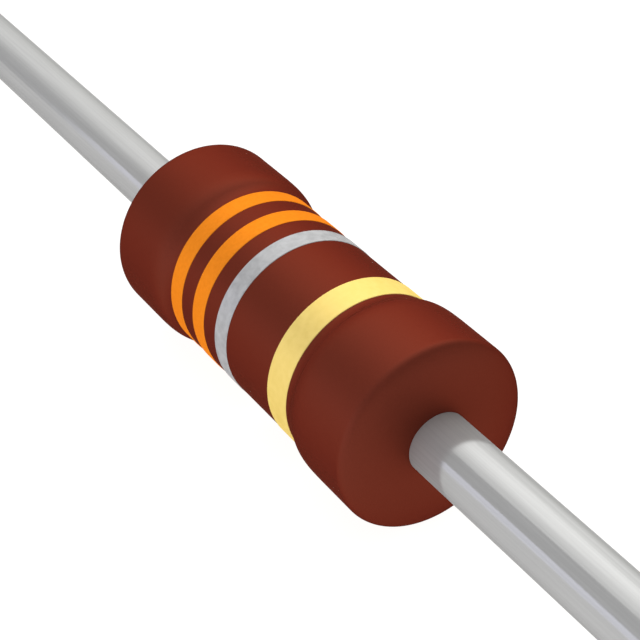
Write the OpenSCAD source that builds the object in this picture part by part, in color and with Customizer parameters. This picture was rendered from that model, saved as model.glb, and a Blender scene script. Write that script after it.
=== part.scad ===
// Axial film resistor with a four-band colour code, in millimetres.
// The axis of the body and of both leads lies along X, and the origin is the middle of the body.
// The tolerance band is at the +X end. Everything is built up from the ceramic rod outwards.

/* [Ceramic rod] */
// Diameter of the ceramic rod
rod_d = 1.7; // [1.5:0.05:1.9]
// Length of the ceramic rod
rod_len = 4.7; // [4.4:0.05:5.2]
// Chamfer ground on both ends of the rod
rod_chamfer = 0.08; // [0.05:0.01:0.12]

/* [Resistive film] */
// Thickness of the metal film, drawn many times thicker than the real one
film_t = 0.03; // [0.02:0.005:0.05]
// Turns of the spiral trimming groove
groove_turns = 3; // [1:0.25:3]
// Width of the groove, along the axis
groove_w = 0.2; // [0.14:0.01:0.26]
// Depth to which the groove bites into the ceramic, below the film
groove_bite = 0.03; // [0.02:0.005:0.06]
// Untrimmed film between an end of the groove and the rim of a cap
groove_margin = 0.265; // [0.2:0.005:0.5]

/* [End caps] */
// Wall of the drawn steel caps
cap_wall = 0.18; // [0.14:0.01:0.22]
// Outer length of a cap
cap_len = 0.89; // [0.8:0.01:1]
// Outer corner radius of the closed end
cap_corner = 0.16; // [0.1:0.01:0.2]
// Chamfer on the outer edge of the rim
cap_rim = 0.03; // [0.02:0.01:0.04]
// Bell mouth inside the rim, which lets the cap slide on to the rod
cap_mouth = 0.06; // [0.04:0.01:0.08]

/* [Wire leads] */
// Diameter of the tinned copper wire
lead_d = 0.8; // [0.6:0.01:0.9]
// Length of a lead from the end of the body to its cut end
lead_len = 28; // [20:0.5:38]
// Width of the weld bead around the foot of the wire
weld_w = 0.16; // [0.1:0.01:0.2]
// Length of the weld bead along the wire
weld_len = 0.24; // [0.18:0.01:0.28]
// Height of the bead's square edge on the cap
weld_edge = 0.03; // [0.02:0.01:0.05]
// Chamfer that the cutter leaves on the end of the wire
tip_chamfer = 0.07; // [0.04:0.01:0.1]

/* [Lacquer] */
// Thickness of the lacquer over the film, at the waist
coat_on_film = 0.265; // [0.24:0.005:0.29]
// Thickness of the lacquer over the side of a cap
coat_on_cap = 0.19; // [0.17:0.005:0.25]
// Thickness of the lacquer over the closed end of a cap
coat_on_end = 0.355; // [0.3:0.005:0.45]
// Length of the rounded shoulder that starts at the rim of a cap
shoulder_len = 0.21; // [0.15:0.01:0.3]
// Depth of the domed end, along the axis
dome_len = 0.18; // [0.1:0.01:0.24]
// Width of the domed ring, across the end face
dome_w = 0.68; // [0.4:0.01:0.7]

/* [Colour bands] */
// Width of the two digit bands and of the multiplier band
band_w = 0.288; // [0.25:0.002:0.3]
// Bare lacquer between neighbouring bands
band_gap = 0.288; // [0.25:0.002:0.3]
// Bare lacquer between the shoulder and the first band
band_margin = 0.2; // [0.15:0.01:0.25]
// Width of the tolerance band
tolerance_w = 0.43; // [0.35:0.01:0.5]
// Bare lacquer between the tolerance band and the other shoulder
tolerance_margin = 0.215; // [0.15:0.005:0.3]
// Thickness of the band paint
paint_t = 0.02; // [0.01:0.005:0.03]

/* [Hidden] */

$fn = 96;
arc_steps = 12;
steps_per_turn = 36;

// Radii, from the axis outwards
lead_r = lead_d / 2;
weld_r = lead_r + weld_w;
rod_r = rod_d / 2;
groove_floor_r = rod_r - groove_bite;
film_r = rod_r + film_t;
groove_top_r = film_r + film_t;
cap_r = film_r + cap_wall;
waist_r = film_r + coat_on_film;
end_r = cap_r + coat_on_cap;
paint_r = waist_r + paint_t;

// Stations along the axis, from the middle of the body towards +X
rod_end = rod_len / 2;
cap_inner_corner = rod_chamfer + film_t;
film_end = rod_end - cap_inner_corner;
cap_face = rod_end + cap_wall;
cap_open = cap_face - cap_len;
body_face = cap_face + coat_on_end;
lead_end = body_face + lead_len;

// Groove, centred on the film
groove_span = 2 * (cap_open - groove_margin) - groove_w;
groove_count = round(groove_turns * steps_per_turn);

// Bands, counted from the -X end
band_step = band_w + band_gap;
first_band = -cap_open + band_margin;
tolerance_band = cap_open - tolerance_margin - tolerance_w;

// Profiles are lists of [radius, station] points on the +X half of the body

function reversed(points) = [for (i = [len(points) - 1:-1:0]) points[i]];

// The same profile on the -X half, in the opposite order
function at_minus_x(points) = [for (p = reversed(points)) [p.x, -p.y]];

// Elliptical arc about a centre, w across the axis and h along it, between two angles
function arc(centre, w, h, from, to) = [
    for (i = [0:arc_steps])
        let (a = from + (to - from) * i / arc_steps)
            centre + [w * cos(a), h * sin(a)]
];

// Outside of a cap: bell mouth, rim, side and the corner of the closed end
function cap_outside() = concat(
    [
        [film_r, cap_open + cap_mouth],
        [film_r + cap_mouth, cap_open],
        [cap_r - cap_rim, cap_open],
        [cap_r, cap_open + cap_rim]
    ],
    arc([cap_r - cap_corner, cap_face - cap_corner], cap_corner, cap_corner, 0, 90)
);

// Inside of a cap, from the middle of its floor to the side
function cap_inside() = concat(
    [[0, rod_end]],
    arc([film_r - cap_inner_corner, film_end], cap_inner_corner, cap_inner_corner, 90, 0)
);

// Weld bead, a hollow fillet from the cap up to the plain wire
function bead() = concat(
    [[weld_r, cap_face]],
    arc([weld_r, cap_face + weld_len], weld_w, weld_len - weld_edge, 270, 180)
);

// Outside of the lacquer: the shoulder over the rim of the cap, then the domed end
function coat_outside() = concat(
    arc([waist_r, cap_open + shoulder_len], end_r - waist_r, shoulder_len, 270, 360),
    arc([end_r - dome_w, body_face - dome_len], dome_w, dome_len, 0, 90)
);

// Inside of the lacquer, which follows the film, the cap, the bead and the wire
function coat_inside() = concat(cap_outside(), bead(), [[lead_r, body_face]]);

// Corner of the groove's square section at one step of its climb
function groove_corner(step, radius, side) =
    let (a = 360 * groove_turns * step / groove_count)
        [
            groove_span * (step / groove_count - 0.5) + side * groove_w / 2,
            radius * cos(a),
            radius * sin(a)
        ];

// Turns a closed profile about the X axis
module turned(profile) {
    rotate([0, 90, 0]) rotate_extrude() polygon(profile);
}

// Moves a piece from the +X end to the -X end
module at_left() {
    mirror([1, 0, 0]) children();
}

// What the trimming groove takes out of the film and of the rod
module groove() {
    points = [
        for (i = [0:groove_count])
            each [
                groove_corner(i, groove_floor_r, -1), groove_corner(i, groove_top_r, -1),
                groove_corner(i, groove_top_r, 1), groove_corner(i, groove_floor_r, 1)
            ]
    ];
    sides = [
        for (i = [0:groove_count - 1], k = [0:3])
            let (a = 4 * i + k, b = 4 * i + (k + 1) % 4)
                each [[a, b + 4, a + 4], [a, b, b + 4]]
    ];
    last = 4 * groove_count;
    polyhedron(points, concat([[3, 2, 1, 0]], sides, [[last, last + 1, last + 2, last + 3]]));
}

module ceramic_rod() {
    half = [[rod_r, rod_end - rod_chamfer], [rod_r - rod_chamfer, rod_end], [0, rod_end]];
    color("ivory")
        difference() {
            turned(concat(at_minus_x(half), half));
            groove();
        }
}

module resistive_film() {
    color("dimgray")
        difference() {
            turned([[rod_r, -film_end], [film_r, -film_end], [film_r, film_end], [rod_r, film_end]]);
            groove();
        }
}

module end_cap() {
    color("lightsteelblue")
        turned(concat(cap_outside(), [[0, cap_face]], cap_inside()));
}

module lead() {
    tip = [[lead_r, lead_end - tip_chamfer], [lead_r - tip_chamfer, lead_end], [0, lead_end]];
    color("silver")
        turned(concat([[0, cap_face]], bead(), tip));
}

// The lacquer fills the groove as well
module lacquer_coat() {
    outside = concat(at_minus_x(coat_outside()), coat_outside());
    inside = concat(at_minus_x(coat_inside()), coat_inside());
    color("sienna")
        union() {
            turned(concat(outside, reversed(inside)));
            groove();
        }
}

// Painted ring on the waist, whose edges thin out
module band(start, width) {
    turned([
        [waist_r, start],
        [paint_r, start + paint_t],
        [paint_r, start + width - paint_t],
        [waist_r, start + width]
    ]);
}

module band_1_orange() {
    color("darkorange") band(first_band, band_w);
}

module band_2_orange() {
    color("darkorange") band(first_band + band_step, band_w);
}

module band_3_silver() {
    color("silver") band(first_band + 2 * band_step, band_w);
}

module band_4_gold() {
    color("khaki") band(tolerance_band, tolerance_w);
}

ceramic_rod();
resistive_film();
at_left() end_cap();  // end_cap_left
end_cap();  // end_cap_right
at_left() lead();  // lead_left
lead();  // lead_right
lacquer_coat();
band_1_orange();
band_2_orange();
band_3_silver();
band_4_gold();
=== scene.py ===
import math

import bpy
import numpy as np
from mathutils import Matrix


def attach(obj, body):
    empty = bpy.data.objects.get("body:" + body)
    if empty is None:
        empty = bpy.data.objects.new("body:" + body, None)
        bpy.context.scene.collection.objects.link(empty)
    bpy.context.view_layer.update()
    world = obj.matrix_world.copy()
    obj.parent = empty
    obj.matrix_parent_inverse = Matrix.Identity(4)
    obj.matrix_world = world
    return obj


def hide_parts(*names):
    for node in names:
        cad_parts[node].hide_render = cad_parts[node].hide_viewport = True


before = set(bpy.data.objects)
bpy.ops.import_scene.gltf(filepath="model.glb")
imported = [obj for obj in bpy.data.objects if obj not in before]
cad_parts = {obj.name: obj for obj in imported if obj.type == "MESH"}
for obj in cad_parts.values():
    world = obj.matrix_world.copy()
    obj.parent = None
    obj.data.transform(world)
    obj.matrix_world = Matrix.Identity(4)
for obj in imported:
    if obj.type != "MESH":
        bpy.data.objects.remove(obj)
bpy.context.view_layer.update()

MM = 0.001


# --- Ceramic rod ---
# The core is a fired alumina rod, ground to a chamfer at both ends. Its solid comes from the CAD
# model and lies inside the lacquer. Fired alumina is chalky white with a fine grain.

GRAIN_LOW = 0.3
GRAIN_HIGH = 0.7


def shader_of(material):
    """The one Principled shader that carries a finish."""
    return material.node_tree.nodes["Principled BSDF"]


def finish(name, base_color, roughness, metallic=0.0):
    """A new material with plain values on its shader's own sockets."""
    material = bpy.data.materials.new(name)
    material.use_nodes = True
    material.diffuse_color = (*base_color, 1.0)
    shader = shader_of(material)
    shader.inputs["Base Color"].default_value = (*base_color, 1.0)
    shader.inputs["Metallic"].default_value = metallic
    shader.inputs["Roughness"].default_value = roughness
    return material


def grain(material, size, stretch=(1.0, 1.0, 1.0), detail=3.0):
    """Noise on Object coordinates, in blobs about size metres across and drawn out by stretch."""
    nodes, links = material.node_tree.nodes, material.node_tree.links
    place = nodes.new("ShaderNodeTexCoord")
    scale = nodes.new("ShaderNodeMapping")
    scale.inputs["Scale"].default_value = [1.0 / (size * s) for s in stretch]
    noise = nodes.new("ShaderNodeTexNoise")
    noise.inputs["Scale"].default_value = 1.0
    noise.inputs["Detail"].default_value = detail
    links.new(place.outputs["Object"], scale.inputs["Vector"])
    links.new(scale.outputs["Vector"], noise.inputs["Vector"])
    return noise.outputs["Fac"]


def vary_colour(material, pattern, low, high):
    """Runs the colour from low to high as the pattern goes from its low to its high mark."""
    ramp = material.node_tree.nodes.new("ShaderNodeValToRGB")
    first, last = ramp.color_ramp.elements
    first.position, last.position = GRAIN_LOW, GRAIN_HIGH
    first.color, last.color = (*low, 1.0), (*high, 1.0)
    links = material.node_tree.links
    links.new(pattern, ramp.inputs["Fac"])
    links.new(ramp.outputs["Color"], shader_of(material).inputs["Base Color"])


def vary_roughness(material, pattern, low, high):
    """Runs the roughness from low to high as the pattern goes from its low to its high mark."""
    level = material.node_tree.nodes.new("ShaderNodeMapRange")
    level.inputs["From Min"].default_value = GRAIN_LOW
    level.inputs["From Max"].default_value = GRAIN_HIGH
    level.inputs["To Min"].default_value = low
    level.inputs["To Max"].default_value = high
    links = material.node_tree.links
    links.new(pattern, level.inputs["Value"])
    links.new(level.outputs["Result"], shader_of(material).inputs["Roughness"])


def relief(material, pattern, depth):
    """Small bumps that follow the pattern, depth metres from their lowest to their highest."""
    bump = material.node_tree.nodes.new("ShaderNodeBump")
    bump.inputs["Strength"].default_value = 1.0
    bump.inputs["Distance"].default_value = depth
    links = material.node_tree.links
    links.new(pattern, bump.inputs["Height"])
    links.new(bump.outputs["Normal"], shader_of(material).inputs["Normal"])


def dress(node_name, material):
    """Gives a CAD node its finish."""
    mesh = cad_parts[node_name].data
    mesh.materials.clear()
    mesh.materials.append(material)


alumina = finish("fired_alumina", (0.80, 0.78, 0.72), roughness=0.75)
chalk = grain(alumina, size=0.06 * MM, detail=5.0)
vary_colour(alumina, chalk, low=(0.72, 0.70, 0.64), high=(0.85, 0.83, 0.78))
relief(alumina, chalk, depth=0.003 * MM)
dress("ceramic_rod", alumina)


# --- Resistive film ---
# A metal film sputtered on the rod and cut to its value by a spiral groove.
# Its solid comes from the CAD model, hidden by the lacquer.

film_metal = finish("sputtered_film", (0.30, 0.31, 0.33), roughness=0.4, metallic=0.9)
film_cloud = grain(film_metal, size=0.12 * MM)
vary_colour(film_metal, film_cloud, low=(0.24, 0.24, 0.26), high=(0.36, 0.37, 0.38))
vary_roughness(film_metal, film_cloud, low=0.34, high=0.5)
dress("resistive_film", film_metal)


# --- End caps ---
# Two cups drawn from thin tinned steel, pressed over the ends of the film. Drawing leaves fine
# lines along their sides. They come from the CAD model and lie inside the lacquer.

cap_steel = finish("drawn_cap_steel", (0.56, 0.56, 0.57), roughness=0.32, metallic=1.0)
draw_lines = grain(cap_steel, size=0.02 * MM, stretch=(14.0, 1.0, 1.0))
vary_colour(cap_steel, draw_lines, low=(0.48, 0.48, 0.49), high=(0.62, 0.62, 0.63))
vary_roughness(cap_steel, draw_lines, low=0.25, high=0.42)
relief(cap_steel, draw_lines, depth=0.001 * MM)
for cap in ("end_cap_left", "end_cap_right"):
    dress(cap, cap_steel)


# --- Leads ---
# Each lead is a straight copper wire with a satin coat of tin, butt-welded to its cap. The weld
# leaves a small hollow fillet at its foot, and the cutter leaves its free end slightly rounded.

LEAD_R = 0.4
LEAD_END = 30.885
CAP_FACE = 2.53
WELD_LEN = 0.24
WELD_R = 0.56
WELD_EDGE = 0.03
TIP_ROUND = 0.07
WIRE_SIDES = 160
WIRE_RINGS = 60
FILLET_RINGS = 12
TIP_RINGS = 10
CREASE = math.radians(40.0)


def quarter(centre, along, across, start, end, steps):
    """Elliptical arc of [station, radius] points: the angle runs from start to end degrees,
    0 being straight away from the axis and 90 being towards +X."""
    a = np.radians(np.linspace(start, end, steps))
    return np.stack([centre[0] + along * np.sin(a), centre[1] + across * np.cos(a)], axis=1)


def straight(stations, radius):
    """[station, radius] points along a line at one radius."""
    return np.stack([stations, np.full(len(stations), radius)], axis=1)


def turned(name, profile, sides, closed):
    """A surface of revolution about X. Point (i, j) of the grid is point i of the profile, at its
    station, swung by j equal steps round the axis. A closed profile joins its last ring to its
    first; an open one ends on the axis, where each pole is a single vertex."""
    angle = np.linspace(0.0, 2.0 * np.pi, sides, endpoint=False)
    rings = profile if closed else profile[1:-1]
    count = len(rings)
    x, r = rings[:, :1], rings[:, 1:]
    grid = np.stack(
        [np.broadcast_to(x, (count, sides)), r * np.cos(angle), r * np.sin(angle)], axis=2
    )
    points = grid.reshape(-1, 3)
    i = np.arange(count if closed else count - 1)[:, None]
    j = np.arange(sides)
    turn = (j + 1) % sides
    near, far = i * sides, (i + 1) % count * sides
    quads = np.stack([near + j, far + j, far + turn, near + turn], axis=2)
    faces = quads.reshape(-1, 4).tolist()
    if not closed:
        first, last = len(points), len(points) + 1
        points = np.vstack([points, [profile[0, 0], 0.0, 0.0], [profile[-1, 0], 0.0, 0.0]])
        top = (count - 1) * sides
        faces += np.stack([np.full(sides, first), j, turn], axis=1).tolist()
        faces += np.stack([np.full(sides, last), top + turn, top + j], axis=1).tolist()
    mesh = bpy.data.meshes.new(name)
    mesh.from_pydata((points * MM).tolist(), [], faces)
    mesh.flip_normals()
    mesh.shade_smooth()
    mesh.set_sharp_from_angle(angle=CREASE)
    mesh.validate()
    piece = bpy.data.objects.new(name, mesh)
    bpy.context.scene.collection.objects.link(piece)
    return piece


def weld_fillet(start, end, steps):
    """The weld's hollow fillet as a quarter ellipse, 90 degrees being at the cap and 0 at the
    wire."""
    centre = (CAP_FACE + WELD_LEN, WELD_R)
    return quarter(centre, WELD_EDGE - WELD_LEN, LEAD_R - WELD_R, start, end, steps)


def lead_profile():
    """From the weld, up the hollow fillet, along the wire in even steps, round the cut end."""
    wire = np.linspace(CAP_FACE + WELD_LEN, LEAD_END - TIP_ROUND, WIRE_RINGS)
    tip_centre = (LEAD_END - TIP_ROUND, LEAD_R - TIP_ROUND)
    return np.vstack([
        [[CAP_FACE, 0.0], [CAP_FACE, WELD_R]],
        weld_fillet(90, 0, FILLET_RINGS),
        straight(wire[1:], LEAD_R),
        quarter(tip_centre, TIP_ROUND, TIP_ROUND, 0, 90, TIP_RINGS)[1:],
        [[LEAD_END, 0.0]],
    ])


def dark_edges(material, edge):
    """Takes the white glancing gloss off a finish, and gives its metal share the edge colour where
    the surface is seen at a slant."""
    shader = shader_of(material)
    shader.inputs["Specular IOR Level"].default_value = 0.0
    shader.inputs["Specular Tint"].default_value = (*edge, 1.0)


tinned = finish("satin_tinned_wire", (0.49, 0.49, 0.48), roughness=0.12, metallic=0.35)
dark_edges(tinned, edge=(0.3, 0.3, 0.3))
streaks = grain(tinned, size=0.03 * MM, stretch=(60.0, 1.0, 1.0))
tin_cloud = grain(tinned, size=0.25 * MM)
vary_colour(tinned, streaks, low=(0.465, 0.465, 0.455), high=(0.515, 0.515, 0.505))
vary_roughness(tinned, tin_cloud, low=0.10, high=0.14)
relief(tinned, streaks, depth=0.0004 * MM)

for side, node_name in ((1, "lead_right"), (-1, "lead_left")):
    profile = (lead_profile() * (side, 1))[::side]
    lead = turned("wire_" + node_name, profile, WIRE_SIDES, closed=False)
    lead.data.materials.append(tinned)
    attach(lead, "root")
    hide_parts(node_name)


# --- Lacquer coat ---
# One red-brown silicone lacquer covers the film, the caps and the welds. It draws in to a waist
# between the caps, climbs softly over each cap's rim, and ends in a shallow dome.

FILM_R = 0.88
CAP_R = 1.06
CAP_OPEN = 1.64
CAP_CORNER = 0.16
WAIST_R = 1.145
END_R = 1.25
BODY_FACE = 2.885
FOOT = 1.43
FLANK = 1.61
FLANK_RISE = 0.048
CROWN = 2.35
DOME_LEN = 0.17
DOME_W = 0.68
DOME_JOIN = 60.0
COAT_SIDES = 256
WAIST_RINGS = 16
FOOT_RINGS = 24
CROWN_RINGS = 44
SIDE_RINGS = 8
ROUND_RINGS = 24
DOME_RINGS = 40
INNER_FILLET_RINGS = 6
INNER_CORNER_RINGS = 8


def shoulder():
    """The lacquer's climb from the waist on to the cap. From the foot to the flank the height
    grows with the square of the way along. From the flank to the crown the height still missing
    shrinks with a power of the way left, and that power carries the flank's slope on without a
    kink."""
    foot = np.linspace(FOOT, FLANK, FOOT_RINGS)
    low = WAIST_R + FLANK_RISE * ((foot - FOOT) / (FLANK - FOOT)) ** 2
    slope = 2 * FLANK_RISE / (FLANK - FOOT)
    missing = END_R - WAIST_R - FLANK_RISE
    power = slope * (CROWN - FLANK) / missing
    crown = np.linspace(FLANK, CROWN, CROWN_RINGS)[1:]
    high = END_R - missing * ((CROWN - crown) / (CROWN - FLANK)) ** power
    return np.stack([np.append(foot, crown), np.append(low, high)], axis=1)


def domed_end():
    """A rounded corner and the shallow dome. The dome is a quarter ellipse. Up to the place where
    it leans by the join angle, a circular arc that touches both it and the side takes its
    place."""
    lean = math.radians(DOME_JOIN)
    start = math.degrees(math.atan(math.tan(lean) * DOME_LEN / DOME_W))
    centre = (BODY_FACE - DOME_LEN, END_R - DOME_W)
    dome = quarter(centre, DOME_LEN, DOME_W, start, 90, DOME_RINGS)
    join_station, join_radius = dome[0]
    radius = (END_R - join_radius) / (1 - math.cos(lean))
    hub = (join_station - radius * math.sin(lean), END_R - radius)
    return np.vstack([quarter(hub, radius, radius, 0, DOME_JOIN, ROUND_RINGS)[:-1], dome])


def coat_half():
    """Outside of the lacquer from the middle of the waist to the lead: a straight waist, the soft
    shoulder, the straight side, the domed end and the flat ring round the wire."""
    end = domed_end()
    return np.vstack([
        straight(np.linspace(0.0, FOOT, WAIST_RINGS)[:-1], WAIST_R),
        shoulder(),
        straight(np.linspace(CROWN, end[0, 0], SIDE_RINGS)[1:-1], END_R),
        end,
        [[BODY_FACE, LEAD_R]],
    ])


def cavity_half():
    """Inside of the lacquer from the lead back to the middle: the wire, the weld's fillet, the
    cap's end, corner and side, and the film."""
    centre = (CAP_FACE - CAP_CORNER, CAP_R - CAP_CORNER)
    return np.vstack([
        weld_fillet(0, 90, INNER_FILLET_RINGS),
        [[CAP_FACE, WELD_R]],
        quarter(centre, CAP_CORNER, CAP_CORNER, 90, 0, INNER_CORNER_RINGS),
        [[CAP_OPEN, CAP_R], [CAP_OPEN, FILM_R]],
    ])


lacquer = finish("red_brown_lacquer", (0.176, 0.035, 0.0205), roughness=0.49, metallic=0.56)
dark_edges(lacquer, edge=(0.1, 0.05, 0.04))
speckle = grain(lacquer, size=0.02 * MM, detail=4.0)
vary_colour(lacquer, speckle, low=(0.166, 0.0330, 0.0193), high=(0.186, 0.0370, 0.0217))
vary_roughness(lacquer, speckle, low=0.45, high=0.53)
relief(lacquer, speckle, depth=0.0012 * MM)

half = np.vstack([coat_half(), cavity_half()])
mirrored = (half * (-1, 1))[:0:-1]
lacquer_body = turned("lacquer_body", np.vstack([half, mirrored]), COAT_SIDES, closed=True)
lacquer_body.data.materials.append(lacquer)
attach(lacquer_body, "root")
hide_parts("lacquer_coat")


# --- Colour bands ---
# Four rings of paint rolled on round the waist: orange, orange and silver for the value, and a
# wider gold one for the tolerance. The metallic paints show soft clouds of pigment.

PAINT_T = 0.008
PAINT_EDGE = 0.012
BAND_W = 0.288
BAND_STEP = 0.576
FIRST_BAND = -1.44
GOLD_BAND = 0.995
GOLD_W = 0.43
EDGE_RINGS = 6
TOP_RINGS = 6


def ring_profile(start, width):
    """A flat ring on the waist whose two edges round down to the lacquer in a quarter ellipse."""
    left, right = start + PAINT_EDGE, start + width - PAINT_EDGE
    return np.vstack([
        quarter((left, WAIST_R), PAINT_EDGE, PAINT_T, -90, 0, EDGE_RINGS),
        straight(np.linspace(left, right, TOP_RINGS)[1:-1], WAIST_R + PAINT_T),
        quarter((right, WAIST_R), PAINT_EDGE, PAINT_T, 0, 90, EDGE_RINGS),
    ])


orange = finish("orange_band_paint", (0.95, 0.28, 0.019), roughness=0.45, metallic=0.25)
dark_edges(orange, edge=(0.3, 0.08, 0.01))
pigment = grain(orange, size=0.05 * MM, detail=4.0)
vary_colour(orange, pigment, low=(0.92, 0.265, 0.017), high=(0.98, 0.295, 0.021))
relief(orange, pigment, depth=0.0012 * MM)

silver = finish("silver_band_paint", (0.49, 0.49, 0.49), roughness=0.4, metallic=0.3)
dark_edges(silver, edge=(0.2, 0.2, 0.2))
silver_flakes = grain(silver, size=0.09 * MM, detail=5.0)
vary_colour(silver, silver_flakes, low=(0.43, 0.43, 0.43), high=(0.55, 0.55, 0.55))
vary_roughness(silver, silver_flakes, low=0.38, high=0.52)
relief(silver, silver_flakes, depth=0.001 * MM)

gold = finish("gold_band_paint", (0.95, 0.72, 0.22), roughness=0.45, metallic=0.3)
dark_edges(gold, edge=(0.3, 0.2, 0.05))
gold_flakes = grain(gold, size=0.09 * MM, detail=5.0)
vary_colour(gold, gold_flakes, low=(0.92, 0.69, 0.20), high=(0.98, 0.75, 0.24))
vary_roughness(gold, gold_flakes, low=0.38, high=0.52)
relief(gold, gold_flakes, depth=0.001 * MM)

BANDS = (
    ("band_1_orange", FIRST_BAND, BAND_W, orange, "orange_paint"),
    ("band_2_orange", FIRST_BAND + BAND_STEP, BAND_W, orange, "orange_paint"),
    ("band_3_silver", FIRST_BAND + 2 * BAND_STEP, BAND_W, silver, "silver_paint"),
    ("band_4_gold", GOLD_BAND, GOLD_W, gold, "gold_paint"),
)
for node_name, start, width, paint, slot_name in BANDS:
    ring = turned("paint_" + node_name, ring_profile(start, width), COAT_SIDES, closed=True)
    ring.data.materials.append(paint)
    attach(ring, "root")
    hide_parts(node_name)


# --- Floor ---
# The part lies on a wide sheet of pale opal acrylic, a flat grid that touches the caps.
# The sheet is lit from below, so that it shows white and holds hardly any shadow.

FLOOR_SIZE = 1500.0
FLOOR_POINTS = 12

opal = finish("pale_floor", (0.18, 0.18, 0.18), roughness=0.9)
shader_of(opal).inputs["Specular IOR Level"].default_value = 0.0
shader_of(opal).inputs["Emission Color"].default_value = (1.0, 0.99, 0.975, 1.0)
shader_of(opal).inputs["Emission Strength"].default_value = 0.97

span = np.linspace(-FLOOR_SIZE / 2, FLOOR_SIZE / 2, FLOOR_POINTS)
floor_x, floor_y = np.meshgrid(span, span)
floor_z = np.full_like(floor_x, -END_R)
floor_points = np.stack([floor_x, floor_y, floor_z], axis=2).reshape(-1, 3)
number = np.arange(FLOOR_POINTS ** 2).reshape(FLOOR_POINTS, FLOOR_POINTS)
floor_faces = np.stack(
    [number[:-1, :-1], number[:-1, 1:], number[1:, 1:], number[1:, :-1]], axis=2
).reshape(-1, 4)
floor_mesh = bpy.data.meshes.new("floor")
floor_mesh.from_pydata((floor_points * MM).tolist(), [], floor_faces.tolist())
floor_mesh.materials.append(opal)
floor = bpy.data.objects.new("floor", floor_mesh)
bpy.context.scene.collection.objects.link(floor)


# --- Light ---
# A tent of white cloth stands all round, and glows behind the far end. A wide softbox hangs
# overhead, and a long bluish strip stands low in front.

BRIGHT_SIDE = (-0.71, 0.53, 0.463)
GLOW_FROM = 0.52
GLOW_TO = 1.0
TENT_DIM = 0.42
TENT_BRIGHT = 1.97

world = bpy.data.worlds.new("studio_tent")
bpy.context.scene.world = world
world.use_nodes = True
nodes, links = world.node_tree.nodes, world.node_tree.links
tent = nodes["Background"]
tent.inputs["Color"].default_value = (1.0, 1.0, 1.0, 1.0)
direction = nodes.new("ShaderNodeTexCoord")
facing = nodes.new("ShaderNodeVectorMath")
facing.operation = "DOT_PRODUCT"
facing.inputs[1].default_value = BRIGHT_SIDE
glow = nodes.new("ShaderNodeMapRange")
glow.interpolation_type = "SMOOTHSTEP"
glow.inputs["From Min"].default_value = GLOW_FROM
glow.inputs["From Max"].default_value = GLOW_TO
glow.inputs["To Min"].default_value = TENT_DIM
glow.inputs["To Max"].default_value = TENT_BRIGHT
links.new(direction.outputs["Generated"], facing.inputs[0])
links.new(facing.outputs["Value"], glow.inputs["Value"])
links.new(glow.outputs["Result"], tent.inputs["Strength"])
bpy.context.scene.view_settings.view_transform = "Standard"


def aimed(right, up, towards, place):
    """The matrix of a light or camera that looks along towards, with right and up across it."""
    rows = [[right[k], up[k], -towards[k], place[k] * MM] for k in range(3)]
    return Matrix(rows + [[0.0, 0.0, 0.0, 1.0]])


def softbox(name, place, size, radiance, tint):
    """A rectangular light that faces the middle of the body, with an even brightness. Its power
    is its radiance times pi times its area."""
    data = bpy.data.lights.new(name, "AREA")
    data.shape = "RECTANGLE"
    data.size, data.size_y = size[0] * MM, size[1] * MM
    data.energy = radiance * math.pi * data.size * data.size_y
    data.color = tint
    towards = -np.array(place) / np.linalg.norm(place)
    across = np.cross(towards, (1.0, 0.0, 0.0))
    across /= np.linalg.norm(across)
    along = np.cross(across, towards)
    light = bpy.data.objects.new(name, data)
    light.matrix_world = aimed(along, across, towards, place)
    bpy.context.scene.collection.objects.link(light)


softbox(
    "overhead_softbox", place=(-24.0, 16.0, 96.0), size=(130.0, 130.0), radiance=0.75,
    tint=(1.0, 1.0, 1.0),
)
softbox(
    "front_strip", place=(-20.0, -120.0, 19.0), size=(260.0, 40.0), radiance=1.25,
    tint=(0.90, 0.91, 1.12),
)


# --- Camera ---
# A long lens looks down on the near end from the photograph's place. Depth of field is off, so
# everything is sharp.

CAMERA_PLACE = (15.865, -9.603, 12.333)
CAMERA_TOWARDS = (-0.70912, 0.43825, -0.55242)
LENS = 100.02
SENSOR = 36.0
NEAREST = 0.1
FURTHEST = 10000.0

camera_data = bpy.data.cameras.new("camera")
camera_data.lens = LENS
camera_data.sensor_width = SENSOR
camera_data.clip_start = NEAREST * MM
camera_data.clip_end = FURTHEST * MM
camera = bpy.data.objects.new("camera", camera_data)
towards = np.array(CAMERA_TOWARDS) / np.linalg.norm(CAMERA_TOWARDS)
right = np.cross(towards, (0.0, 0.0, 1.0))
right /= np.linalg.norm(right)
up = np.cross(right, towards)
camera.matrix_world = aimed(right, up, towards, CAMERA_PLACE)
bpy.context.scene.collection.objects.link(camera)
bpy.context.scene.camera = camera
